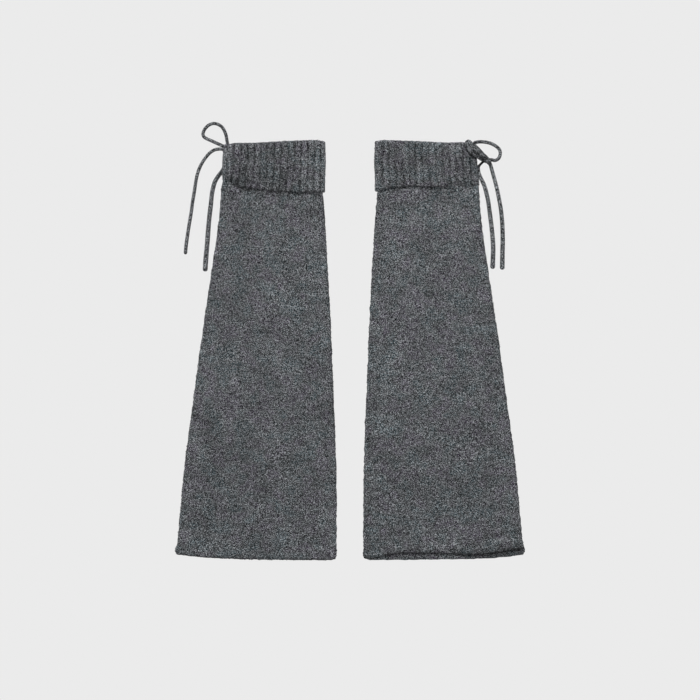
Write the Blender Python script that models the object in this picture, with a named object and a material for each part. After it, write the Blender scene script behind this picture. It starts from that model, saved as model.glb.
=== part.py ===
"""A pair of flared knitted leg warmers, laid flat side by side.

Each one is a tube of soft knit that widens to its hem. Its ribbed cuff is turned down over the
narrow end, and a thin knitted cord is tied in a bow at the cuff's outer corner. The tube lies
flattened, so its front panel rests on its back panel, and the two meet at the side seams.

Tables and sizes are in millimetres, and become metres where the meshes are made. X runs across
the pair, Y runs from hem to cuff, and Z is up from the surface that the pair lies on. A leg
warmer is described by its distance out from the pair's middle line, and is laid out to the
left (side -1) or to the right (side +1).
"""
import math
from bisect import bisect_right
from collections import namedtuple

import bmesh
import bpy
from mathutils import Vector

# Driving sizes
MM = 0.001
WALL = 2.0
GAP = 0.3
RIBS = 14
RIB_RISE = 0.9
CORD = 3.8
LEG_TOP = 165.0
SLOPE_FOOT = 136.0
SLOPE_HEAD = 156.0
CORNER_RISE = 7.4
SWELL_RISE = 0.15

# The wall's faces, measured out from the middle of the flattened tube
LEG_HALF = GAP / 2 + WALL
CUFF_HALF = LEG_HALF + GAP + WALL
LAYER = WALL + GAP
FOLD_RADIUS = WALL + GAP / 2

LEFT = -1
RIGHT = 1
FRONT = 1
BACK = -1
SIDE_NAMES = {LEFT: "left", RIGHT: "right"}
FACE_NAMES = {FRONT: "front", BACK: "back"}

# Where the tube's inner and outer edges lie, from the hem up to the cuff's fold
Section = namedtuple("Section", "y inner outer")
SECTIONS = (
    Section(-209.8, 14.2, 172.8),
    Section(-200.0, 13.8, 174.0),
    Section(-194.0, 13.5, 172.8),
    Section(-160.0, 13.5, 169.7),
    Section(-120.0, 14.0, 166.0),
    Section(-80.0, 15.2, 160.8),
    Section(-40.0, 16.8, 155.4),
    Section(0.0, 18.2, 150.0),
    Section(50.0, 20.4, 142.7),
    Section(100.0, 23.4, 135.2),
    Section(130.0, 25.2, 131.2),
    Section(157.0, 27.3, 128.9),
    Section(165.0, 27.2, 128.2),
    Section(173.0, 27.1, 126.1),
    Section(188.0, 26.6, 124.8),
    Section(210.0, 27.2, 123.4),
)

# Lines that cross a panel: the distance out from the pair's middle, and the height there
Edge = namedtuple("Edge", "out y")
HEM_LINES = {
    (LEFT, BACK): (Edge(13, -208.6), Edge(17, -210.0), Edge(90, -209.6), Edge(130, -208.4),
                   Edge(156, -206.8), Edge(173, -204.6)),
    (RIGHT, BACK): (Edge(13, -208.4), Edge(18, -210.0), Edge(90, -209.7), Edge(115, -209.3),
                    Edge(134, -208.7), Edge(157, -207.2), Edge(173, -205.0)),
    (RIGHT, FRONT): (Edge(13, -206.8), Edge(18, -208.6), Edge(30, -206.2), Edge(50, -203.1),
                     Edge(69, -203.2), Edge(100, -203.6), Edge(117, -204.4), Edge(132, -203.8),
                     Edge(150, -202.0), Edge(173, -198.2)),
}
HEM_LINES[LEFT, FRONT] = HEM_LINES[LEFT, BACK]
CUFF_LINES = {
    LEFT: (Edge(26, 157.2), Edge(60, 157.9), Edge(76, 158.8), Edge(95, 161.2), Edge(111, 163.0),
           Edge(120, 166.6), Edge(128, 169.6)),
    RIGHT: (Edge(26, 157.4), Edge(33, 161.2), Edge(48, 162.6), Edge(61, 163.7), Edge(76, 163.0),
            Edge(97, 162.2), Edge(115, 162.4), Edge(128, 164.4)),
}
FOLD_LINES = {
    LEFT: (Edge(26, 209.0), Edge(29, 209.8), Edge(34, 210.0), Edge(70, 209.0), Edge(100, 207.8),
           Edge(116, 207.6), Edge(121, 207.4), Edge(126, 205.4)),
    RIGHT: (Edge(26, 209.0), Edge(29, 209.8), Edge(34, 210.0), Edge(70, 208.9), Edge(100, 207.6),
            Edge(113, 207.9), Edge(119.5, 207.9), Edge(123.9, 206.6), Edge(127.1, 202.6),
            Edge(129, 199.0)),
}

# The hem's roll: how far up from the hem line, and how far its two faces stand from the wall's
Roll = namedtuple("Roll", "up inside outside")
HEM_ROLL = (Roll(0.0, 0.4, -0.5), Roll(1.4, 0.0, 0.1), Roll(5.0, 0.0, 0.2), Roll(9.0, 0.0, 0.1),
            Roll(12.5, 0.0, 0.0))
LEG_ROWS = (-172, -150, -118, -80, -40, 0, 40, 80, 114, SLOPE_FOOT, 146, SLOPE_HEAD, LEG_TOP)

# Soft swells where the front panel doesn't lie quite flat on the back one
SEAM_FADE = (6.0, 30.0)
CUFF_FADE = (SLOPE_HEAD, SLOPE_FOOT - 30.0)
Swell = namedtuple("Swell", "out y wide high rise")
SWELLS = {
    LEFT: (Swell(70, 60, 22, 60, 1.0), Swell(112, -30, 20, 80, 0.8), Swell(60, -110, 26, 55, 0.9)),
    RIGHT: (Swell(86, 70, 24, 55, 0.9), Swell(50, -20, 18, 75, 0.8),
            Swell(118, -105, 28, 60, 1.0)),
}

# Heights of the cuff's rows, as shares of the way from the leg's top edge to the fold
CUFF_SHARES = (0.0, 0.25, 0.5, 0.75, 1.0)
FOLD_TURN = (-45, 0, 45)
CUFF_LIP = 1.2
LIP_ROUNDING = {"near": 0.6, "far": 0.3}

# Whether the panel's first sample is in a valley between two ribs or on a rib
FIRST_ON_RIB = {LEFT: 1, RIGHT: 0}

# Where the left cuff's outer corner is lifted by the knot that lies under it
LIFT_OUT = (84.0, 112.0)
LIFT_HIGH = 19.0

# The bows. Each cord follows its route of x, y and z, and each knot is a squashed ball
CORD_ROUTES = {
    "left_bow_loop": (
        (-122.6, 206.6, 2.5), (-123.4, 211.5, 2.1), (-124.5, 216.4, 2.0), (-127.4, 222.2, 2.0),
        (-131.4, 225.4, 2.0), (-136.4, 226.6, 2.0), (-141.2, 225.0, 2.0), (-144.8, 221.6, 2.0),
        (-146.6, 218.2, 2.0), (-147.0, 215.0, 2.0), (-144.9, 212.2, 2.0), (-138.0, 209.0, 2.0),
        (-131.4, 206.0, 2.1), (-126.8, 204.0, 2.5)),
    "left_bow_tail_outer": (
        (-126.1, 198.4, 2.5), (-128.6, 200.2, 2.1), (-132.2, 200.9, 2.0), (-136.0, 200.0, 2.0),
        (-140.4, 197.0, 2.0), (-144.8, 191.9, 2.0), (-148.8, 185.7, 2.0), (-151.6, 179.3, 2.0),
        (-153.4, 173.0, 2.0), (-154.6, 166.1, 2.0), (-155.9, 157.5, 2.0), (-157.6, 147.2, 2.0),
        (-158.8, 138.0, 2.0), (-161.4, 122.4, 2.0), (-163.8, 106.0, 2.0), (-164.7, 95.7, 2.0)),
    "left_bow_tail_inner": (
        (-121.4, 196.8, 2.5), (-123.0, 190.5, 2.1), (-125.0, 184.6, 2.0), (-127.6, 179.4, 2.0),
        (-131.4, 174.4, 2.0), (-134.8, 169.0, 2.0), (-136.8, 162.7, 2.0), (-138.3, 154.6, 2.0),
        (-139.2, 145.4, 2.0), (-140.6, 134.0, 2.0), (-141.7, 122.0, 2.0), (-142.9, 106.0, 2.0),
        (-144.2, 91.0, 2.0), (-145.0, 78.6, 2.0)),
    "right_bow_loop": (
        (134.7, 194.0, 2.4), (131.4, 197.8, 2.0), (127.8, 201.6, 2.0), (124.6, 204.8, 2.0),
        (124.4, 207.0, 2.0), (127.2, 208.0, 2.0), (131.4, 208.3, 2.0), (136.6, 207.8, 2.0),
        (141.6, 206.4, 2.0), (146.0, 203.9, 2.0), (149.2, 201.0, 2.0), (150.3, 197.8, 2.0),
        (150.0, 194.4, 2.0), (148.3, 191.2, 2.0), (144.8, 189.6, 2.3), (141.6, 190.3, 2.9)),
    "right_bow_loop_folded": (
        (134.9, 192.9, 8.0), (131.2, 195.3, 11.6), (127.3, 197.6, 14.2), (124.3, 200.0, 14.9),
        (122.0, 202.8, 14.8), (120.2, 205.8, 14.4), (118.7, 207.4, 13.8), (117.1, 207.2, 13.2),
        (116.7, 205.3, 12.8), (117.9, 202.6, 12.6), (119.3, 200.1, 12.5), (121.2, 197.9, 12.4),
        (123.4, 196.2, 11.8), (125.8, 194.8, 10.6), (128.2, 193.2, 8.8), (130.5, 191.8, 7.0),
        (132.2, 190.9, 5.6)),
    "right_bow_tail_outer": (
        (140.2, 185.8, 2.6), (141.4, 182.2, 2.1), (143.1, 176.0, 2.0), (146.0, 165.4, 2.0),
        (147.7, 158.2, 2.0), (149.4, 149.6, 2.0), (150.8, 141.6, 2.0), (151.8, 133.0, 2.0),
        (152.4, 125.0, 2.0), (152.8, 109.7, 2.0), (152.5, 95.0, 2.0), (152.3, 80.4, 2.0)),
    "right_bow_tail_inner": (
        (133.2, 188.3, 2.5), (131.2, 186.4, 2.1), (129.4, 184.0, 2.0), (128.9, 181.0, 2.0),
        (129.8, 176.4, 2.0), (131.9, 171.0, 2.0), (134.1, 165.4, 2.0), (135.7, 160.0, 2.0),
        (136.9, 155.0, 2.0), (138.2, 149.2, 2.0), (140.1, 135.2, 2.0), (142.1, 118.6, 2.0),
        (143.2, 103.3, 2.0), (142.9, 88.0, 2.0), (142.6, 81.2, 2.0)),
}
FINE_STEPS = {"left_bow_loop": 1.0 * CORD, "right_bow_loop": 1.0 * CORD,
              "right_bow_loop_folded": 0.5 * CORD}
PLAIN_STEP = 2.0 * CORD
Knot = namedtuple("Knot", "centre reach turn")
KNOTS = {
    "left_bow_knot": Knot((-121.2, 201.6, 3.4), (5.3, 4.6, 3.3), 20),
    "right_bow_knot": Knot((137.2, 189.6, 4.5), (5.4, 3.4, 4.0), -42),
}

# Samples across a panel: the share of the way over, and which way the wall faces there
Sample = namedtuple("Sample", "share outward upward")
SEAM_TURN = (0, 30, 60)
LEG_STEPS = 8


def on_curve(keys, values, at):
    """The value at a place between the keys, on a smooth curve through all the values."""
    if at <= keys[0]:
        return values[0]
    if at >= keys[-1]:
        return values[-1]
    last = len(keys) - 1
    low = bisect_right(keys, at) - 1
    slopes = []
    for key in (low, low + 1):
        before = max(key - 1, 0)
        after = min(key + 1, last)
        slopes.append((values[after] - values[before]) / (keys[after] - keys[before]))
    span = keys[low + 1] - keys[low]
    t = (at - keys[low]) / span
    start = (2 * t**3 - 3 * t**2 + 1) * values[low] + (t**3 - 2 * t**2 + t) * span * slopes[0]
    end = (3 * t**2 - 2 * t**3) * values[low + 1] + (t**3 - t**2) * span * slopes[1]
    return start + end


def read_line(line, out):
    """The height of a line that crosses the panel, at a distance out from the middle."""
    return on_curve([edge.out for edge in line], [edge.y for edge in line], out)


def tube_edges(y):
    """The tube's inner and outer edges at a height."""
    keys = [section.y for section in SECTIONS]
    inner = on_curve(keys, [section.inner for section in SECTIONS], y)
    outer = on_curve(keys, [section.outer for section in SECTIONS], y)
    return inner, outer


def share_between(low, high, at):
    """How far a place lies between two others, from 0 to 1."""
    return min(max((at - low) / (high - low), 0.0), 1.0)


def ease(t):
    """A share from 0 to 1, with a soft start and a soft end."""
    return t * t * (3 - 2 * t)


def middle_height(y):
    """The height of the flattened tube's middle, which rises where the cuff lies under it."""
    return LEG_HALF + (CUFF_HALF - LEG_HALF) * ease(share_between(SLOPE_FOOT, SLOPE_HEAD, y))


def corner_lift(side, out, y):
    """How far the left cuff's outer corner is held up by the knot under it."""
    if side == RIGHT:
        return 0.0
    foot = LEG_TOP + GAP
    upward = share_between(foot, foot + LIFT_HIGH, y)
    return CORNER_RISE * ease(share_between(*LIFT_OUT, out)) * upward


def front_swell(side, out, y):
    """How far the leg's front panel stands off its back one, level at the seams and the cuff."""
    inner, outer = tube_edges(y)
    edge = min(out - inner, outer - out)
    fade = ease(share_between(*SEAM_FADE, edge)) * ease(share_between(*CUFF_FADE, y))
    rise = 0.0
    for swell in SWELLS[side]:
        spread = ((out - swell.out) / swell.wide) ** 2 + ((y - swell.y) / swell.high) ** 2
        rise += swell.rise * math.exp(-spread)
    return SWELL_RISE * rise * fade


def place(side, face, sample, y, depth, swollen=False):
    """A point of the cloth, at a height and at a depth out from the tube's inner face."""
    inner, outer = tube_edges(y)
    core = inner + WALL + sample.share * (outer - inner - 2 * WALL)
    out = core + sample.outward * depth
    z = middle_height(y) + face * (GAP / 2 + depth * sample.upward) + corner_lift(side, out, y)
    if swollen and face == FRONT:
        z += front_swell(side, core, y)
    return Vector((side * out, y, max(z, 0.0)))


def samples_across(steps):
    """Samples from the inner seam, over the panel in even steps, to the outer seam."""
    turns = [math.radians(angle) for angle in SEAM_TURN]
    inner_seam = [Sample(0.0, -math.cos(turn), math.sin(turn)) for turn in turns]
    panel = [Sample(step / steps, 0.0, 1.0) for step in range(steps + 1)]
    outer_seam = [Sample(1.0, math.cos(turn), math.sin(turn)) for turn in reversed(turns)]
    return inner_seam + panel + outer_seam


def cloth_wall(name, one_face, other_face, material):
    """A closed wall of cloth between two grids of points of the same size."""
    shape = bmesh.new()
    grids = [[[shape.verts.new(point * MM) for point in row] for row in grid]
             for grid in (one_face, other_face)]
    rows = len(one_face)
    columns = len(one_face[0])

    def cell(a, b, c, d):
        shape.faces.new((a, b, c))
        shape.faces.new((a, c, d))

    for grid in grids:
        for row in range(rows - 1):
            for column in range(columns - 1):
                cell(grid[row][column], grid[row + 1][column],
                     grid[row + 1][column + 1], grid[row][column + 1])
    first, second = grids
    for row in (0, rows - 1):
        for column in range(columns - 1):
            cell(first[row][column], first[row][column + 1],
                 second[row][column + 1], second[row][column])
    for column in (0, columns - 1):
        for row in range(rows - 1):
            cell(first[row][column], first[row + 1][column],
                 second[row + 1][column], second[row][column])
    bmesh.ops.remove_doubles(shape, verts=shape.verts, dist=0.0001 * MM)
    bmesh.ops.recalc_face_normals(shape, faces=shape.faces)
    add_object(name, shape, material)


def add_object(name, shape, material):
    """Turn a finished bmesh into a named, smoothly shaded object."""
    mesh = bpy.data.meshes.new(name)
    shape.to_mesh(mesh)
    shape.free()
    mesh.shade_smooth()
    mesh.set_sharp_from_angle(angle=math.radians(50))
    mesh.materials.append(material)
    bpy.context.collection.objects.link(bpy.data.objects.new(name, mesh))


def leg_panel(side, face, material):
    """The front or back of one leg: a flared panel from its rolled hem to its top edge."""
    hem_line = HEM_LINES[side, face]
    hem_inner, hem_outer = tube_edges(SECTIONS[0].y)
    one_face = []
    other_face = []
    for sample in samples_across(LEG_STEPS):
        hem = read_line(hem_line, hem_inner + sample.share * (hem_outer - hem_inner))
        rows = []
        for roll in HEM_ROLL:
            rests_flat = face == BACK and roll.outside > 0
            swell = roll.outside * (1 - sample.upward if rests_flat else 1)
            rows.append((hem + roll.up, roll.inside, WALL + swell))
        rows += [(y, 0.0, WALL) for y in LEG_ROWS]
        one_face.append([place(side, face, sample, y, near, True) for y, near, far in rows])
        other_face.append([place(side, face, sample, y, far, True) for y, near, far in rows])
    cloth_wall(f"{SIDE_NAMES[side]}_leg_{FACE_NAMES[face]}", one_face, other_face, material)


def cuff_panel(side, face, material):
    """The front or back of one cuff: up from the leg's top edge, over the fold and down again.

    The ribs are raised on the side that is seen, and end level on the underside.
    """
    inner, outer = tube_edges(SLOPE_HEAD)
    foot = LEG_TOP + GAP
    one_face = []
    other_face = []
    for number, sample in enumerate(samples_across(2 * RIBS)):
        out = inner + sample.share * (outer - inner)
        on_rib = sample.upward == 1.0 and (number - len(SEAM_TURN)) % 2 == FIRST_ON_RIB[side]
        rib = RIB_RISE if on_rib else 0.0
        turned_rib = rib if face == FRONT else 0.0
        low = read_line(CUFF_LINES[side], out)
        fold = read_line(FOLD_LINES[side], out) - FOLD_RADIUS - RIB_RISE
        heights = [foot + share * (fold - foot) for share in CUFF_SHARES]
        near = [(y, 0.0) for y in heights]
        far = [(y, WALL) for y in heights]
        for angle in FOLD_TURN:
            turn = math.radians(angle)
            reach = FOLD_RADIUS + rib * math.cos(turn) ** 2
            near.append((fold + reach * math.cos(turn), FOLD_RADIUS + reach * math.sin(turn)))
            far.append((fold + GAP / 2 * math.cos(turn),
                        FOLD_RADIUS + GAP / 2 * math.sin(turn)))
        for y in reversed(heights):
            height = max(y, low + CUFF_LIP)
            near.append((height, LAYER + WALL + turned_rib))
            far.append((height, LAYER))
        near.append((low, LAYER + WALL - LIP_ROUNDING["near"]))
        far.append((low, LAYER + LIP_ROUNDING["far"]))
        one_face.append([place(side, face, sample, y, depth) for y, depth in near])
        other_face.append([place(side, face, sample, y, depth) for y, depth in far])
    cloth_wall(f"{SIDE_NAMES[side]}_cuff_{FACE_NAMES[face]}", one_face, other_face, material)


def smooth_route(route, step):
    """Points an even step apart on a smooth curve through the route's own points."""
    points = [Vector(point) for point in route]
    points = [2 * points[0] - points[1], *points, 2 * points[-1] - points[-2]]
    fine = []
    parts = 12
    for before, start, end, after in zip(points, points[1:], points[2:], points[3:]):
        for part in range(parts):
            t = part / parts
            fine.append(0.5 * (2 * start + (end - before) * t
                               + (2 * before - 5 * start + 4 * end - after) * t**2
                               + (3 * start - before - 3 * end + after) * t**3))
    fine.append(points[-2])
    travelled = [0.0]
    for start, end in zip(fine, fine[1:]):
        travelled.append(travelled[-1] + (end - start).length)
    count = max(round(travelled[-1] / step), 1)
    spaced = []
    for number in range(count + 1):
        at = travelled[-1] * number / count
        low = min(bisect_right(travelled, at) - 1, len(fine) - 2)
        share = (at - travelled[low]) / (travelled[low + 1] - travelled[low])
        spaced.append(fine[low].lerp(fine[low + 1], share))
    return spaced


def cord(name, route, material):
    """A round knitted cord along its route, with closed ends."""
    points = smooth_route(route, FINE_STEPS.get(name, PLAIN_STEP))
    curve = bpy.data.curves.new(name, "CURVE")
    curve.dimensions = "3D"
    curve.bevel_depth = CORD / 2 * MM
    curve.bevel_resolution = 2
    curve.use_fill_caps = True
    spline = curve.splines.new("POLY")
    spline.points.add(len(points) - 1)
    for target, point in zip(spline.points, points):
        target.co = (*(point * MM), 1.0)
    curve.materials.append(material)
    bpy.context.collection.objects.link(bpy.data.objects.new(name, curve))


def bow_knot(name, knot, material):
    """A squashed knot with the turn of cord that is drawn tight round its middle."""
    shape = bmesh.new()
    bmesh.ops.create_uvsphere(shape, u_segments=14, v_segments=9, radius=1.0)
    turn = math.radians(knot.turn)
    for vertex in shape.verts:
        x, y, z = vertex.co
        proud = 0.86 + 0.14 * math.exp(-((x / 0.45) ** 2))
        x, y, z = (value * proud * reach for value, reach in zip((x, y, z), knot.reach))
        turned = Vector((x * math.cos(turn) - y * math.sin(turn),
                         x * math.sin(turn) + y * math.cos(turn), z))
        vertex.co = (turned + Vector(knot.centre)) * MM
    add_object(name, shape, material)


def knit(name, red, green, blue, roughness):
    """A woollen finish: matt, with no metal in it."""
    material = bpy.data.materials.new(name)
    material.use_nodes = True
    shader = material.node_tree.nodes["Principled BSDF"]
    shader.inputs["Base Color"].default_value = (red, green, blue, 1.0)
    shader.inputs["Roughness"].default_value = roughness
    shader.inputs["Metallic"].default_value = 0.0
    return material


def build():
    """Clear the scene, then make both leg warmers with their cuffs and bows."""
    for old in list(bpy.data.objects):
        bpy.data.objects.remove(old)
    leg_knit = knit("brushed_grey_knit", 0.094, 0.100, 0.107, 0.95)
    cuff_knit = knit("ribbed_grey_knit", 0.082, 0.086, 0.094, 0.95)
    cord_knit = knit("grey_knitted_cord", 0.090, 0.092, 0.094, 0.9)
    for side in (LEFT, RIGHT):
        for face in (FRONT, BACK):
            leg_panel(side, face, leg_knit)
            cuff_panel(side, face, cuff_knit)
    for name, route in CORD_ROUTES.items():
        cord(name, route, cord_knit)
    for name, knot in KNOTS.items():
        bow_knot(name, knot, cord_knit)


build()
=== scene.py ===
"""The look of a pair of grey knitted leg warmers, laid flat and seen from above.

Lengths are in millimetres up to the point where a mesh is made. X runs across the pair, Y from
hem to cuff and Z up from the table. Each leg warmer is described by its distance out from the
pair's middle line, and is laid out to the left (-1) or to the right (+1), as its solids are.
"""
import math
from collections import namedtuple

import bpy
import numpy as np
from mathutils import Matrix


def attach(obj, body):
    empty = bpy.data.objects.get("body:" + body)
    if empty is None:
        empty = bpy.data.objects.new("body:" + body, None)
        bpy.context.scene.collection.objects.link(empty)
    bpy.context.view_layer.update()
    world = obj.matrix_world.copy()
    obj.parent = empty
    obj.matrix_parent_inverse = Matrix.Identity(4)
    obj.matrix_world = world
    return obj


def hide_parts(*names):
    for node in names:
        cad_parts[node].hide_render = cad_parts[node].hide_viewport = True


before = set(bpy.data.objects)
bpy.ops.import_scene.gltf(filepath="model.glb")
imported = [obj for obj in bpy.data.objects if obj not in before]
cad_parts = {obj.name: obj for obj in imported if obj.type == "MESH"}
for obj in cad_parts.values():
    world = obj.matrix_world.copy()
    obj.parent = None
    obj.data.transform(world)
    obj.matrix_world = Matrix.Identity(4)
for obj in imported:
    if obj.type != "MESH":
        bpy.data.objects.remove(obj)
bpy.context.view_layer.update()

# Sizes of the garment
MM = 0.001
WALL = 2.0
GAP = 0.3
RIBS = 14
RIB_RISE = 0.9
CORD = 3.8
LEG_TOP = 165.0
SLOPE_FOOT = 136.0
SLOPE_HEAD = 156.0
CORNER_RISE = 7.4
SWELL_RISE = 0.35
LEG_HALF = GAP / 2 + WALL
CUFF_HALF = LEG_HALF + GAP + WALL
LAYER = WALL + GAP
FOLD_RADIUS = WALL + GAP / 2

LEFT = -1
RIGHT = 1
FRONT = 1
BACK = -1
SIDE_NAMES = {LEFT: "left", RIGHT: "right"}
FACE_NAMES = {FRONT: "front", BACK: "back"}

# Heights from the hem up to the cuff's fold, each with the tube's inner and outer edges there
SECTIONS = (
    (-209.8, 14.2, 172.8),
    (-200.0, 13.8, 174.0),
    (-194.0, 13.5, 172.8),
    (-160.0, 13.5, 169.7),
    (-120.0, 14.0, 166.0),
    (-80.0, 15.2, 160.8),
    (-40.0, 16.8, 155.4),
    (0.0, 18.2, 150.0),
    (50.0, 20.4, 142.7),
    (100.0, 23.4, 135.2),
    (130.0, 25.2, 131.2),
    (157.0, 27.3, 128.9),
    (165.0, 27.2, 128.2),
    (173.0, 27.1, 126.1),
    (188.0, 26.6, 124.8),
    (210.0, 27.2, 123.4),
)
TUBE_FOOT = SECTIONS[0][0]

# Lines that cross a panel, as distances out from the pair's middle, each with the height there
HEM_LINES = {
    (LEFT, BACK): ((13, -208.6), (17, -210.0), (90, -209.6), (130, -208.4), (156, -206.8),
                   (173, -204.6)),
    (RIGHT, BACK): ((13, -208.4), (18, -210.0), (90, -209.7), (115, -209.3), (134, -208.7),
                    (157, -207.2), (173, -205.0)),
    (RIGHT, FRONT): ((13, -206.8), (18, -208.6), (30, -206.2), (50, -203.1), (69, -203.2),
                     (100, -203.6), (117, -204.4), (132, -203.8), (150, -202.0), (173, -198.2)),
}
HEM_LINES[LEFT, FRONT] = HEM_LINES[LEFT, BACK]
CUFF_LINES = {
    LEFT: ((26, 157.2), (60, 157.9), (76, 158.8), (95, 161.2), (111, 163.0), (120, 166.6),
           (128, 169.6)),
    RIGHT: ((26, 157.4), (33, 161.2), (48, 162.6), (61, 163.7), (76, 163.0), (97, 162.2),
            (115, 162.4), (128, 164.4)),
}
FOLD_LINES = {
    LEFT: ((26, 209.0), (29, 209.8), (34, 210.0), (70, 208.9), (100, 207.3), (116, 206.8),
           (121, 206.8), (126, 205.8)),
    RIGHT: ((26, 209.0), (29, 209.8), (34, 210.0), (70, 208.9), (100, 207.6), (113, 207.9),
            (119.5, 207.9), (123.9, 206.6), (127.1, 202.6), (129, 199.0)),
}

# The hem's roll: how far up from the hem line, and how far its two faces stand from the wall's
Roll = namedtuple("Roll", "up inside outside")
HEM_ROLL = (Roll(0.0, 0.5, -0.9), Roll(0.6, 0.2, -0.2), Roll(1.4, 0.0, 0.3), Roll(3.0, 0.0, 0.7),
            Roll(5.0, 0.0, 0.8), Roll(9.0, 0.0, 0.4), Roll(12.5, 0.0, 0.0))
HEM_HIGH = HEM_ROLL[-1].up
PLAIN_FOOT = -172.0

# Soft swells where the front panel doesn't lie quite flat on the back one
SEAM_FADE = (6.0, 30.0)
CUFF_FADE = (SLOPE_HEAD, SLOPE_FOOT - 30.0)
Swell = namedtuple("Swell", "out y wide high rise")
SWELLS = {
    LEFT: (Swell(70, 60, 22, 60, 1.0), Swell(112, -30, 20, 80, 0.8),
           Swell(60, -110, 26, 55, 0.9)),
    RIGHT: (Swell(86, 70, 24, 55, 0.9), Swell(50, -20, 18, 75, 0.8),
            Swell(118, -105, 28, 60, 1.0)),
}

# What is known of the ribs at each sample of a cuff, and how far along a rib its inner seam is
Ribs = namedtuple("Ribs", "out phase number ridge")
RIB_START = {LEFT: 0.0, RIGHT: 0.5}

# Where the left cuff's outer corner is lifted by the knot that lies under it
LIFT_OUT = (84.0, 112.0)
LIFT_HIGH = 19.0

# Where the cuff's lip lies so flat on the leg that its line fades, as distances out
LIP_FADES = {LEFT: (117.0, 122.0), RIGHT: (95.0, 106.0)}
FADED_LIP = 0.4
FADED_HIGH = 7.0

# How far the cuff's outer seam draws in towards its lip, and from how far above it
SEAM_DRAW = 1.3
SEAM_DRAW_HIGH = 8.0

# How finely the cloth is modelled
LEG_STEPS = 72
LEG_ROW = 2.0
HEM_ROW = 0.7
HEM_EDGE_ROW = 0.35
HEM_EDGE_HIGH = 1.4
BRIDGE_ROWS = 12
SEAM_TURNS = 5
RIB_STEPS = 8
CUFF_ROW = 1.5
RISING_ROWS = 9
FOLD_TURNS = 9
LIP_ROWS = 4

# The cuff's ribs, its fold and its lip. A rib's ridge also moves the lip up and down a little
RIB_VIGOUR = (0.72, 1.08)
RIB_ROUND = 0.7
RIB_DIPS = 0.5
RIB_LEVEL = 0.25
LIP_HIGH = 1.4
LIP_CLOSES = (0.5, 0.25)
FOLD_EVEN = 0.45
FOLD_RIB = 0.3
FOLD_RUN = 9.0
FOLD_OVER = (math.radians(20), math.radians(90))
LINING_DEPTH = 0.05

# The courses of knitting that show along the hem
HEM_RIPPLE = 0.22
HEM_COURSE = 2.6
HEM_COURSE_FROM = 1.0
HEM_COURSE_FADE = (3.0, 11.0)

# Unevenness of the cloth: how strong it is, how wide its lumps are, and its random seed, to which
# each panel adds its own number
Uneven = namedtuple("Uneven", "strength size seed")
HEM_WANDER = Uneven(0.35, 4.0, 11)
LEG_PUCKER = Uneven(0.22, 9.0, 31)
LEG_FLUFF = Uneven(0.3, 2.6, 57)
RIB_DRIFT = Uneven(0.07, 11.0, 16)
RIB_WOBBLE = Uneven(0.25, 14.0, 5)
CUFF_PUCKER = Uneven(0.22, 9.0, 25)
CUFF_FLUFF = Uneven(0.18, 2.6, 45)
FOLD_FLUFF = Uneven(0.2, 2.6, 65)
# The next two make the painted shade in the rib grooves waver and come in patches
GROOVE_WAVER = Uneven(0.14, 9.0, 18)
GROOVE_PATCHES = Uneven(0.45, 6.0, 12)
WORN_PATCHES = Uneven(0.1, 11.0, 14)
# Patches in the painted shadow along the cuff's lip
LIP_SHADOW_PATCHES = Uneven(0.4, 7.0, 20)
RIB_SEED = 5
RIB_TONE_SEED = 8
LEG_NAP_SEEDS = {BACK: 71, FRONT: 81}
CUFF_NAP_SEEDS = {BACK: 92, FRONT: 98}
LATTICE = (97, 101)
LATTICE_MIDDLE = 40.0
LEG_SPREAD = 150.0
RIB_APART = 9.0
SEAM_FLUFF = 0.55

# How dark the cloth looks, where 1 is as it looks in the open: painted shade in its creases and
# rib grooves, along its hem's edge and seams, on its inner faces, as a painted shadow along the
# cuff's lip and beside the folded loop, on cords near their knots and down their sides, and the
# tone of the knots themselves
OPEN = 1.0
HEM_SHADE = 0.45
HEM_EDGE_FADE = (0.2, 2.2)
SEAM_SHADE = 0.6
LINING_SHADE = 0.6
LINING_DIM = 0.22
LINING_FADE = (80.0, 115.0)
GROOVE_SHADE = 0.2
GROOVE_SHOWS = {LEFT: 0.84, RIGHT: 0.7}
GROOVE_NARROW = 1.4
STITCH_LINE_SHADE = 0.85
STITCH_LINE_WIDE = 0.1
# Painted shadow along the cuff's lip: how dark, how high it reaches, how strongly it shows and how
# much it fades where the lip lies flat
LIP_SHADE = 0.42
LIP_SHADOW_HIGH = 1.8
LIP_SHADOW_SHOWS = 0.8
LIP_SHADOW_FADES = 0.9
LOOP_SHADE = 0.4
LOOP_FADE = (1.5, 4.5)
KNOT_SHADE = 0.5
KNOT_TONE = 0.75
KNOT_FADE = (2.5, 6.5)
TIGHT_SHADE = 0.25
CORD_SIDE_SHADE = 0.35

# How much single ribs differ in tone, how much painted light brightens the top of the fold and
# how far down it reaches, and how dim the leg gets towards its hem, going down from a height
RIB_UNEVEN = 0.08
FOLD_PAINTED_LIGHT = 0.1
FOLD_PAINTED_LIGHT_DEEP = 6.0
HEM_DIM = 0.12
HEM_DIM_TOP = 150.0

# Patches that look dimmer or brighter than the rest: by how much, and between which places each
# one fades in and out again, across the cloth and then along it
BEFORE = (-2000.0, -1000.0)
BEYOND = (1000.0, 2000.0)
Patch = namedtuple("Patch", "tone start end first last")
CUFF_MIDDLE = Patch(-0.06, (38.0, 56.0), (94.0, 108.0), BEFORE, BEYOND)
CUFF_TONES = {
    LEFT: (CUFF_MIDDLE, Patch(-0.09, (55.0, 75.0), BEYOND, BEFORE, BEYOND),
           Patch(-0.2, (92.0, 114.0), BEYOND, (26.0, 38.0), BEYOND),
           Patch(0.14, (106.0, 114.0), BEYOND, BEFORE, (30.0, 38.0))),
    RIGHT: (CUFF_MIDDLE,),
}
LEG_UPPER_OUTER = Patch(-0.08, (0.45, 0.75), BEYOND, (-20.0, 100.0), BEYOND)
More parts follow.
